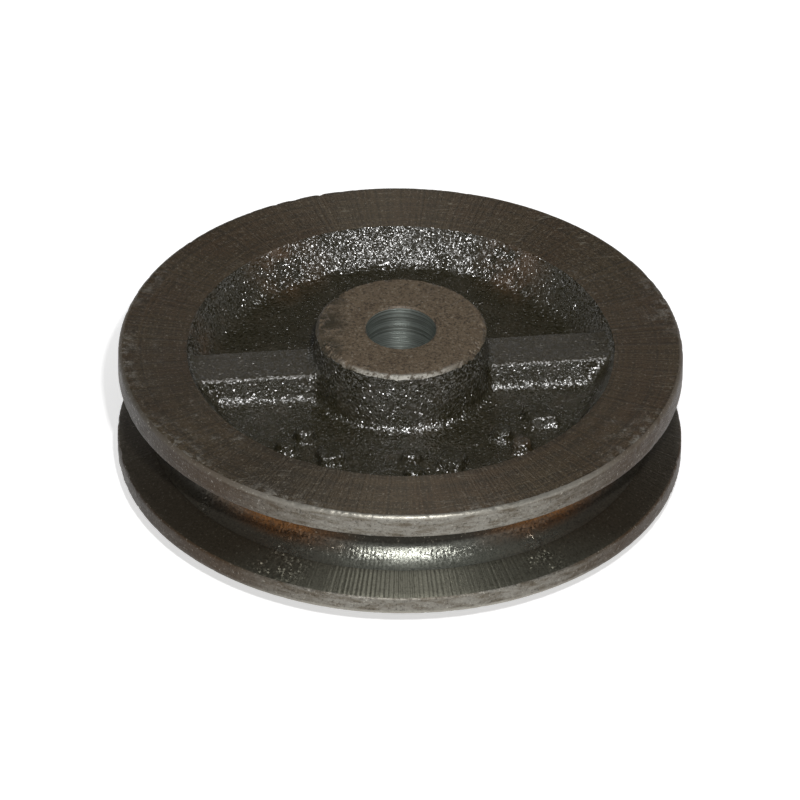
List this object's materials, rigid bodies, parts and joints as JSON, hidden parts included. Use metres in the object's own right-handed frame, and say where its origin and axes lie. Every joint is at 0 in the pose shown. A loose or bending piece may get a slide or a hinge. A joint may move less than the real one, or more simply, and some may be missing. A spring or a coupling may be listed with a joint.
{
  "type": "wire rope sheave",
  "caption": "Cast-iron wire rope sheave with a round-seated V groove, a ribbed solid web, a long hub and a plain bore",
  "frame": {"origin": "on the bore's axis, halfway through the rim and the hub", "axes": "Z runs along the bore, with +Z towards the face that has the raised foundry marks; X runs along the ribs"},
  "size_m": [0.16, 0.16, 0.05],
  "materials": {
    "cast_iron": "black, glossy as-cast skin on web, ribs and hub flank; dull brown-grey turned rim, groove, hub faces and bore"
  },
  "bodies": {
    "root": {"sheave": "cast_iron"}
  },
  "joints": []
}
